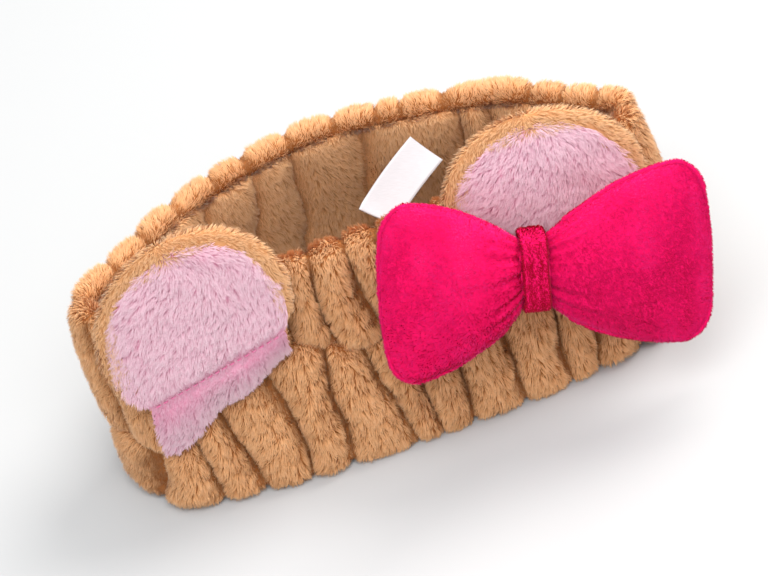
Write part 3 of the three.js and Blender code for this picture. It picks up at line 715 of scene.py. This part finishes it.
def make_ear(side):
    yaw, roll = (math.radians(a) for a in EAR_TURN[side])
    turn = three_euler_zxy(-WALL_LEAN, roll, yaw)
    origin = np.array(EAR_CREASE[side])
    rng = np.random.default_rng(31 if side == "left" else 32)

    def world(x, y, z):
        skewed = x + EAR_SKEW[side] * np.maximum(z, 0)
        return np.stack(np.broadcast_arrays(skewed, y, z), -1) @ turn.T + origin

    def seam_line(x):
        crease = world(x, 4.0, -1.0)
        cx = crease[..., 0]
        seam = seam_height(cx)
        return wall_point(angle_at(cx), 6.3, seam + 1.2)

    foot_rows = np.linspace(1, 0, 13)[:-1]
    dome_rows = np.concatenate([np.linspace(0, 0.12, 10)[:-1], np.linspace(0.12, 1, 46)])

    def body_rows(inset):
        """Rows from the seam up the foot, over the crease and up the dome to its top."""
        foot = [("foot", f) for f in foot_rows]
        return foot + [("dome", (1 - (1 - q) ** 1.35) * (EAR_HEIGHT - inset)) for q in dome_rows]

    def centre(u, row, inset, y):
        kind, value = row
        if kind == "dome":
            return world(u * half_width(np.full_like(u, value), inset), y, value + 0.3)
        x = u * (CREASE_HALF - 0.4 * inset)
        top = world(x, y, 0.0)
        low = seam_line(x * 0.93)
        return lerp(top, low, value)

    n_round = 84
    theta = np.arange(n_round) / n_round * 2 * np.pi
    towards = turn[:, 1]
    rows = body_rows(0.0)
    points, heights = [], []
    lump = noise_2d(*np.meshgrid(np.arange(len(rows)) * 1.1, np.cos(theta) * 30, indexing="ij"), 9, rng)
    for r, row in enumerate(rows):
        kind, value = row
        if kind == "dome":
            q = np.clip((value - EAR_SHOULDER) / (EAR_HEIGHT - EAR_SHOULDER), 0, 1)
            thick = 3.9 * np.sqrt(np.clip(1 - q**3, 0, 1)) * lerp(0.16, 1.0, float(smooth(0, 13, value)))
        else:
            thick = lerp(0.7, 1.9, math.sin(math.pi * value))
        c = centre(np.cos(theta), row, 0.0, 4.4)
        swell = signed_power(np.sin(theta), 0.75) * (thick + 0.4 * lump[r])
        points.append(c + towards * swell[:, None])
        heights.append(value if kind == "dome" else -10 * value)
    middle = len(foot_rows) + 14
    body = outward_grid(points, middle, points[middle].mean(0))
    heights = np.array(heights)
    back_skin = grid_mesh(f"ear_{side}_back_skin", body, PALE_CLOTH)
    weight = np.zeros(body.n)
    weight[:] = np.where(np.sin(theta)[None, :] > -0.62, 1.0, 0.0)
    weight[heights > EAR_HEIGHT - 9] = 1.0
    weight[heights < 5] = np.where(np.sin(theta) > 0.05, 1.0, 0.0)[None]
    swirl = cloth_noise(body.n, (1.1, 1.2), 8, rng)

    def comb_back(a, b):
        angle = 2.9 + 0.6 * body.at(swirl, a, b)
        return np.stack([np.cos(angle), np.sin(angle)], -1)

    back_pile = grow(f"ear_{side}_back_pile", body, TAN_PILE, weight, 6.5 * LIGHT, 3.4, comb_back, rng,
                     lean=(24, 52), clump=1.8, pull=0.3, spread=0.25, tone=lambda a, b, p: 0.42, soft=0.82,
                     swirl=0.8)

    inset = 5.0
    n_u = 56
    u = np.linspace(-1, 1, n_u)
    front_rows = body_rows(inset)
    points = []
    lump = noise_2d(*np.meshgrid(np.arange(len(front_rows)) * 1.1, u * 30, indexing="ij"), 10, rng)
    for r, row in enumerate(front_rows):
        kind, value = row
        if kind == "dome":
            q = np.clip((value - EAR_SHOULDER) / (EAR_HEIGHT - EAR_SHOULDER - inset), 0, 1)
            dome = (1 - np.abs(u) ** 3.2) * (1 - q**3.2)
            rise = 2.2 + 3.0 * dome * float(smooth(0, 8, value)) + 0.6 * lump[r]
            rise = rise * lerp(0.6, 1.0, float(smooth(0, 6, value)))
        else:
            swell = 2.2 * math.sin(math.pi * min(value, 1) ** 0.8) * (1 - np.abs(u) ** 4)
            rise = 1.5 + swell + 0.4 * lump[r]
            rise = rise * lerp(1.0, 0.6, float(smooth(0.25, 0.0, value)))
        side_inset = lerp(1.2, inset, float(smooth(6, 30, value))) if kind == "dome" else 1.2
        c = centre(u, row, side_inset, 4.4)
        points.append(c - towards * np.broadcast_to(rise, u.shape)[:, None])
    front = Grid(np.array(points))
    # it faces away from the wall
    if np.mean(front.normal @ towards) > 0:
        front = Grid(np.array(points), flip=True)
    front_skin = grid_mesh(f"ear_{side}_front_skin", front, PINK_CLOTH)
    thicken = front_skin.modifiers.new("cloth", "SOLIDIFY")
    thicken.thickness = 0.0012
    thicken.offset = -1
    front_skin.data = bake_modifiers(front_skin)
    front_heights = np.array([v if k == "dome" else -10 * v for k, v in front_rows])
    weight = np.ones(front.n)
    swirl_f = cloth_noise(front.n, (1.1, 1.2), 10, rng)
    fall = np.repeat(smooth(1.0, 7.0, np.abs(front_heights))[:, None], n_u, 1)
    clipped = fall * np.repeat(lerp(0.4, 1.0, smooth(-10.5, -6.5, front_heights))[:, None], n_u, 1)

    def comb_front(a, b):
        # down the ear and a little to the left; away from the edges at the sides
        place = (b / (n_u - 1) - 0.5) * 2
        angle = math.pi + 0.55 - 0.5 * place + 0.45 * front.at(swirl_f, a, b)
        return np.stack([np.cos(angle), np.sin(angle)], -1)

    def tone_and_crease_shade(a, b, p):
        # painted shade: the pink pile is darker close to the crease; the swirl term is random tone
        return -0.42 * (1 - front.at(fall, a, b)) + 0.08 * front.at(swirl_f, a, b)

    front_pile = grow(f"ear_{side}_front_pile", front, PINK_PILE, weight, 8.0 * LIGHT, 4.4, comb_front, rng,
                      lean=(30, 64), clump=1.9, pull=0.36, spread=0.28, tone=tone_and_crease_shade, soft=0.84,
                      trim=lambda a, b: lerp(0.42, 1.0, front.at(clipped, a, b)), swirl=0.9)
    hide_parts(f"ear_{side}_back", f"ear_{side}_foot_back")
    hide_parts(f"ear_{side}_front", f"ear_{side}_foot_front")
    for piece, slot in ((back_skin, "tan_plush"), (back_pile, "tan_plush"), (front_skin, "pink_plush"),
                        (front_pile, "pink_plush")):
        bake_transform(piece)
    # padding inside, kept well clear of the skins
    pad_rows = np.linspace(7, 44, 24)
    points = []
    for h in pad_rows:
        w = half_width(np.full(n_round, h), 7.0)
        q = np.clip((h - EAR_SHOULDER) / (EAR_HEIGHT - 7 - EAR_SHOULDER), 0, 1)
        thick = 1.6 * math.sqrt(max(0.02, 1 - q**3)) * lerp(0.5, 1.0, float(smooth(7, 14, h)))
        points.append(world(np.cos(theta) * w, 4.4, h) + towards * (np.sin(theta) * thick)[:, None])
    pad = grid_mesh(f"ear_{side}_pad", Grid(np.array(points), loop_j=True), WADDING)
    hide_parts(f"ear_{side}_padding")
    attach(pad, f"ear_{side}")
    # a row of short stitches along the crease
    stitch_points, quads = [], []
    for k, x in enumerate(np.arange(-26, 26.1, 3.2)):
        ring = [world(np.array(x + dx), 2.4 + 0.28 * math.cos(t) - lift, 0.1 + 0.28 * math.sin(t))
                for dx, lift in ((-1.1, -0.5), (-0.6, 0.25), (0.6, 0.25), (1.1, -0.5))
                for t in np.arange(6) / 6 * 2 * math.pi]
        start = len(stitch_points)
        stitch_points.extend(ring)
        for r in range(3):
            for c in range(6):
                a, b = start + r * 6 + c, start + r * 6 + (c + 1) % 6
                quads.append((a, b, b + 6, a + 6))
    stitches = to_mesh(f"ear_{side}_stitches", np.array(stitch_points), np.array(quads), THREAD_PINK)
    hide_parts(f"ear_{side}_topstitch")
    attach(stitches, "band_front")


def bake_modifiers(obj):
    """obj's mesh with its modifiers in it, and none left on obj."""
    graph = bpy.context.evaluated_depsgraph_get()
    mesh = bpy.data.meshes.new_from_object(obj.evaluated_get(graph))
    obj.modifiers.clear()
    return mesh


for ear_side in ("left", "right"):
    make_ear(ear_side)


# ---- bow ----
BOW_TURN = three_euler_zxy(-WALL_LEAN, math.radians(BOW_ROLL), 0.0)
NECK_X = 4.3
END_X = {"left": 58.0, "right": 67.0}
DROOP = {"left": 0.09, "right": 0.0}
NECK_HEIGHT = 14.0
LOBE_HEIGHT = 36.5
CORNER = 12.0
HALF_THICK = 12.6


def bow_world(p):
    return np.asarray(p) @ BOW_TURN.T + np.array(BOW_CENTRE)


def lobe_points(side, inset, rng, n_x=64, n_round=96, wrinkle=1.0):
    """A lobe's rings from the knot to its end, in the bow's own frame, and the angles round them."""
    direction = 1 if side == "right" else -1
    end = END_X[side]
    t = np.linspace(0, 1, n_x)
    x = lerp(NECK_X, end - inset, t * 0.45 + 0.55 * (1 - (1 - t) ** 2.2))
    share = (x - NECK_X) / (end - NECK_X)
    over = np.clip((x - (end - inset - CORNER)) / CORNER, 0, 1)
    rounding = CORNER * (np.sqrt(np.clip(1 - over**2.3, 0, 1)) - 1) - inset
    swing = np.sin(np.clip(share * 1.12, 0, 1) * np.pi / 2)
    above = lerp(NECK_HEIGHT, LOBE_HEIGHT, swing**0.95) + rounding
    below = lerp(NECK_HEIGHT, LOBE_HEIGHT, swing**0.65) + rounding
    thick = HALF_THICK * (np.clip(np.sin(np.pi * lerp(0.09, 1.0, share**0.86)), 0, 1)) ** 0.62 - inset
    thick = np.maximum(thick, 0.02)
    theta = np.arange(n_round) / n_round * 2 * np.pi
    xx, tt = np.meshgrid(x, theta, indexing="ij")
    hh = np.where(np.sin(tt) > 0, above[:, None], below[:, None])
    hh = hh + wrinkle * 0.8 * noise_1d(theta, 2 * np.pi, 0.35, rng)[None] * share[:, None]
    kk = np.meshgrid(thick, theta, indexing="ij")[0]
    ss = np.meshgrid(share, theta, indexing="ij")[0]
    y = -kk * signed_power(np.cos(tt), 1.15)
    z = hh * np.sin(tt)
    fold = noise_2d(tt / (2 * np.pi) * 64, ss * 2.0, 1.75, rng)
    fold = np.abs(fold) ** 0.8
    strength = wrinkle * 2.6 * np.exp(-(ss * (end - NECK_X)) / 11.0)
    lump = noise_2d(xx + 100, z + 100, 15, rng) * 0.7 * wrinkle * np.clip(kk / 6, 0, 1)
    radial = np.stack([np.zeros_like(y), -np.cos(tt), np.sin(tt)], -1)
    p = np.stack([xx - 3.4 * (z / LOBE_HEIGHT) ** 2 * ss**3, y, z - DROOP[side] * (xx - NECK_X)], -1)
    bulge = np.stack([0 * y, -np.sign(np.cos(tt)) * lump, 0 * y], -1)
    p = p - radial * (strength * fold)[..., None] + bulge
    p[..., 0] *= direction
    return p, theta


PIPING_RADIUS = 0.85


def make_piping(side, grid, rng):
    """The rolled seam round a lobe's outline, where its front and back panels meet."""
    n_round = grid.n[1]
    top, bottom = n_round // 4, 3 * n_round // 4
    start = 5
    end = grid.p[-1, top:bottom + 1]
    line = np.concatenate([grid.p[start:, top], end[1:-1], grid.p[start:, bottom][::-1]])
    line, places, along = even_line(line, 220)
    across = np.broadcast_to(BOW_TURN[:, 1], line.shape)
    outward = unit(np.cross(along, across))
    turn = np.arange(10) / 10 * 2 * np.pi
    size = PIPING_RADIUS * (1 + 0.16 * noise_1d(places, places[-1], 3.0, rng))
    tube = (line[:, None] + size[:, None, None] * (across[:, None] * np.cos(turn)[None, :, None]
                                                   + outward[:, None] * np.sin(turn)[None, :, None]))
    seam = Grid(tube, loop_j=True)
    if np.mean(np.sum(seam.normal[:, 0] * (seam.p[:, 0] - line), -1)) < 0:
        seam = Grid(tube, loop_j=True, flip=True)
    core = grid_mesh(f"bow_{side}_piping", seam, BOW_CLOTH)

    def comb(a, b):
        return np.stack([np.full(len(a), 1.0), np.full(len(a), 0.3)], -1)

    nap = grow(f"bow_{side}_piping_pile", seam, BOW_PILE, np.ones(seam.n), 8.0 * LIGHT, 0.9, comb, rng,
               lean=(20, 55), clump=0.8, pull=0.2, tone=lambda u, v, p: 0.12, soft=0.9, sink=0.1)
    return [core, nap]


def make_lobe(side):
    direction = 1 if side == "right" else -1
    seed = 51 if side == "left" else 52
    p, theta = lobe_points(side, 1.3, np.random.default_rng(seed))
    grid = outward_grid(bow_world(p), len(p) // 2, bow_world([[direction * 35.0, 0, 0]])[0])
    rng = np.random.default_rng(seed + 10)
    swirl = cloth_noise(grid.n, (1.0, 1.4), 14, rng)
    # the front and back panels, each reaching one column past their seam
    front = np.concatenate([np.where(theta > 1.5 * np.pi)[0], np.where(theta < 0.5 * np.pi)[0]])
    rear = np.where(np.cos(theta) <= 0)[0]
    pieces = []
    for half, order in (("front", front), ("back", rear)):
        first, last = (order[0] - 1) % len(theta), (order[-1] + 1) % len(theta)
        order = np.concatenate([[first], order, [last]])
        part = Grid(grid.p[:, order], flip=grid.flip)
        skin = grid_mesh(f"bow_{side}_{half}_skin", part, BOW_CLOTH)
        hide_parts(f"bow_{side}_{half}_panel")
        pieces.append(skin)

    def comb(a, b):
        angle = -0.6 * direction + 0.5 * grid.at(swirl, a, b)
        return np.stack([np.cos(angle), np.sin(angle)], -1)

    patches = cloth_noise(grid.n, (1.0, 1.4), 9, rng)
    # painted light: the left lobe is painted lighter and the right one darker
    painted_light = 0.1 if side == "left" else -0.08
    seam = np.abs(np.cos(theta))[None, :] * np.ones(grid.n)

    def tone(a, b, at):
        # painted sheen: the pile is lighter near the seam at the lobe's edges
        edge_sheen = 1 - smooth(0.1, 0.75, grid.at(seam, a, b))
        return 0.34 * grid.at(patches, a, b) + 0.34 * edge_sheen + painted_light

    pile = grow(f"bow_{side}_pile", grid, BOW_PILE, np.ones(grid.n), 7.0 * LIGHT, 1.1, comb, rng,
                lean=(26, 55), clump=0.9, pull=0.2, tone=tone, soft=0.92, sink=0.1)
    pieces.append(pile)
    pieces.extend(make_piping(side, grid, rng))
    hinge = JOINTS[f"bow_{side}_lift"]
    at = Vector(hinge["pos_m"])
    for piece in pieces:
        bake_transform(piece)
    inner, _ = lobe_points(side, 5.5, np.random.default_rng(seed), n_x=28, n_round=36, wrinkle=0.0)
    keep = np.abs(inner[:, 0, 0]) > 16
    fill = grid_mesh(f"bow_{side}_fill", Grid(bow_world(inner[keep]), loop_j=True, flip=grid.flip), WADDING)
    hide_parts(f"bow_{side}_stuffing")
    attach(fill, f"bow_{side}")


for bow_side in ("left", "right"):
    make_lobe(bow_side)


def make_knot():
    rng = np.random.default_rng(61)
    n_x, n_round = 26, 90
    theta = np.arange(n_round) / n_round * 2 * np.pi
    half, deep, tall = 4.6, 8.4, 15.4
    points = []
    fold = noise_1d(theta, 2 * np.pi, 0.45, rng)
    for s in np.linspace(-1, 1, n_x):
        edge = (1 - abs(s) ** 6) ** 0.3 if abs(s) < 1 else 0.0
        shrink = lerp(0.72, 1.0, edge)
        rib = 0.35 * math.cos(s * 2.5 * math.pi)
        y = -(deep * shrink + rib) * signed_power(np.cos(theta), 0.62)
        z = (tall * lerp(0.93, 1.0, edge)) * signed_power(np.sin(theta), 0.62)
        x = s * half * (1 + 0.06 * np.abs(np.sin(theta))) + 0.25 * fold
        points.append(np.stack([x, y, z], -1))
    grid = outward_grid(bow_world(points), n_x // 2, np.array(BOW_CENTRE))
    skin = grid_mesh("bow_knot_skin", grid, BOW_CLOTH)

    def comb(a, b):
        return np.stack([np.full(len(a), 0.3), np.full(len(a), -1.0)], -1)

    pile = grow("bow_knot_pile", grid, KNOT_PILE, np.ones(grid.n), 7.0 * LIGHT, 1.0, comb, rng,
                lean=(26, 55), clump=0.9, pull=0.2, soft=0.9, sink=0.1)
    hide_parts("bow_knot_wrap")
    for piece in (skin, pile):
        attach(piece, "bow_knot")
    # gathered middle of the bow, inside the knot
    points = []
    for s in np.linspace(-5.5, 5.5, 10):
        pucker = 0.5 * np.cos(theta * 9)
        y, z = -(5.2 + pucker) * np.cos(theta), (11.5 + pucker) * np.sin(theta)
        points.append(np.stack([np.full(n_round, s), y, z], -1))
    waist = grid_mesh("bow_waist_gather", Grid(bow_world(points), loop_j=True), BOW_CLOTH)
    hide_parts("bow_waist")
    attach(waist, "bow_knot")


make_knot()

TACK_RADIUS = 0.35
TACK_STRANDS = 4
TACK_TWIST = 2.0  # radians from end to end
TACK_DROP = 12.0
TACK_FROM, TACK_TO = 7.5, 21.8  # behind the bow's middle


def make_tack():
    """The thread that holds the knot off the band: four strands twisted together."""
    steps, sides = 7, 6
    points, quads = [], []
    for strand in range(TACK_STRANDS):
        base = strand * steps * sides
        for step in range(steps):
            f = step / (steps - 1)
            turn = strand * math.pi / 2 + f * TACK_TWIST
            for corner in range(sides):
                a = corner / sides * 2 * math.pi
                points.append([0.8 * math.cos(turn) + TACK_RADIUS * math.cos(a), lerp(TACK_FROM, TACK_TO, f),
                               -TACK_DROP + 0.8 * math.sin(turn) + TACK_RADIUS * math.sin(a)])
                if step < steps - 1:
                    b = base + step * sides
                    here, after = b + corner, b + (corner + 1) % sides
                    quads.append((here, after, after + sides, here + sides))
    tack = to_mesh("bow_tack_strands", bow_world(points), np.array(quads), THREAD_PINK)
    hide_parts("bow_tack_thread")
    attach(tack, "band_front")


make_tack()


# ---- label ----
def label_material():
    m, nodes, links, shader = new_material("satin")
    where = nodes.new("ShaderNodeTexCoord")
    mapping = nodes.new("ShaderNodeMapping")
    mapping.inputs["Scale"].default_value = (1, 60, 1)
    noise = nodes.new("ShaderNodeTexNoise")
    noise.inputs["Scale"].default_value = 400
    links.new(where.outputs["Object"], mapping.inputs["Vector"])
    links.new(mapping.outputs["Vector"], noise.inputs["Vector"])
    ramp = ramp_node(nodes, [(0.3, srgb(192, 188, 191)), (0.7, srgb(210, 206, 209))])
    links.new(noise.outputs["Fac"], ramp.inputs["Fac"])
    links.new(ramp.outputs["Color"], shader.inputs["Base Color"])
    shader.inputs["Roughness"].default_value = 0.42
    shader.inputs["Sheen Weight"].default_value = 0.3
    return m


# from its sewn edge to its free end
LABEL_PATH = np.array([[7.5, -17.3, 81.1], [9.5, -14.2, 80.5], [17, -8.2, 82.8], [25, -2.2, 84.8],
                       [33.5, 4.2, 86.2]])
LABEL_ACROSS = np.array([0.567, -0.53, -0.631])
LABEL_ACROSS_ROOT = np.array([0.723, -0.214, -0.657])
LABEL_TWIST_END = 0.16
LABEL_WIDTH = 15.0


def make_label():
    n_along, n_across = 40, 16
    dense = []
    pts = np.vstack([2 * LABEL_PATH[0] - LABEL_PATH[1], LABEL_PATH, 2 * LABEL_PATH[-1] - LABEL_PATH[-2]])
    for k in range(1, len(pts) - 2):
        p0, p1, p2, p3 = pts[k - 1:k + 3]
        for t in np.linspace(0, 1, 12, endpoint=False):
            dense.append(catmull(p0, p1, p2, p3, t))
    dense = np.array(dense + [LABEL_PATH[-1]])
    line, places, along = even_line(dense, n_along)
    turned = smooth(0, LABEL_TWIST_END, places / places[-1])[:, None]
    across = unit(lerp(LABEL_ACROSS_ROOT, LABEL_ACROSS, turned))
    normal = unit(np.cross(along, across))
    w = np.linspace(-1, 1, n_across)
    cup = 0.5 * (1 - w**2)
    grid = np.array([line[i] + across[i] * (k * LABEL_WIDTH / 2) + normal[i] * c
                     for i in range(n_along) for k, c in zip(w, cup)]).reshape(n_along, n_across, 3)
    obj = grid_mesh("label_sheet", Grid(grid), label_material())
    solid = obj.modifiers.new("fold", "SOLIDIFY")
    solid.thickness = 0.0005
    solid.offset = 0
    obj.data = bake_modifiers(obj)
    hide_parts("satin_label")
    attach(obj, "label")


make_label()

# ---- floor, light and camera ----
def make_floor():
    reach = 3.0
    mesh = bpy.data.meshes.new("floor")
    corners = [(-reach, -reach, 0), (reach, -reach, 0), (reach, reach, 0), (-reach, reach, 0)]
    mesh.from_pydata(corners, [], [(0, 1, 2, 3)])
    floor = bpy.data.objects.new("floor", mesh)
    bpy.context.scene.collection.objects.link(floor)
    material, _, _, shader = new_material("paper")
    shader.inputs["Base Color"].default_value = (0.585, 0.585, 0.583, 1)
    shader.inputs["Roughness"].default_value = 0.9
    shader.inputs["Specular IOR Level"].default_value = 0.1
    mesh.materials.append(material)


def make_sky():
    world = bpy.data.worlds.new("world")
    bpy.context.scene.world = world
    world.use_nodes = True
    background = world.node_tree.nodes["Background"]
    background.inputs["Color"].default_value = (0.95, 0.975, 1.0, 1)
    background.inputs["Strength"].default_value = 0.84


LIGHT_TARGET = (0, 0, 0.04)


def area_light(name, at, size, watts, colour=(1, 1, 1)):
    data = bpy.data.lights.new(name, "AREA")
    data.shape = "DISK"
    data.size = size
    data.energy = watts
    data.color = colour
    obj = bpy.data.objects.new(name, data)
    obj.location = at
    obj.rotation_mode = "QUATERNION"
    obj.rotation_quaternion = (Vector(LIGHT_TARGET) - Vector(at)).to_track_quat("-Z", "Y")
    bpy.context.scene.collection.objects.link(obj)


TARGET = Vector(((0.76 + OFFSET[0]) * MM, (3.3 + OFFSET[1]) * MM, 0.030))
ELEVATION = math.radians(40)
ROLL = math.radians(20)
DISTANCE = 2.0
WIDTH_SEEN = 0.292
SENSOR = 36


def make_camera():
    """A long lens looking down at the front, with the loop's right end rolled upwards."""
    data = bpy.data.cameras.new("camera")
    data.sensor_width = SENSOR
    data.lens = SENSOR * DISTANCE / WIDTH_SEEN
    camera = bpy.data.objects.new("camera", data)
    bpy.context.scene.collection.objects.link(camera)
    back = Vector((0, -math.cos(ELEVATION), math.sin(ELEVATION)))
    raised = Vector((0, math.sin(ELEVATION), math.cos(ELEVATION)))
    right = Vector((math.cos(ROLL), 0, 0)) - raised * math.sin(ROLL)
    upwards = Vector((math.sin(ROLL), 0, 0)) + raised * math.cos(ROLL)
    turn = Matrix((right, upwards, back)).transposed().to_4x4()
    camera.matrix_world = Matrix.Translation(TARGET + back * DISTANCE) @ turn
    bpy.context.scene.camera = camera


make_floor()
make_sky()
area_light("key", (0.7, 0.3, 1.15), 0.8, 14.0, (1.0, 0.985, 0.96))
area_light("fill", (0.0, -0.85, 1.35), 1.1, 14.5)
make_camera()
bpy.context.scene.view_settings.view_transform = "Standard"
bpy.context.scene.view_settings.look = "None"
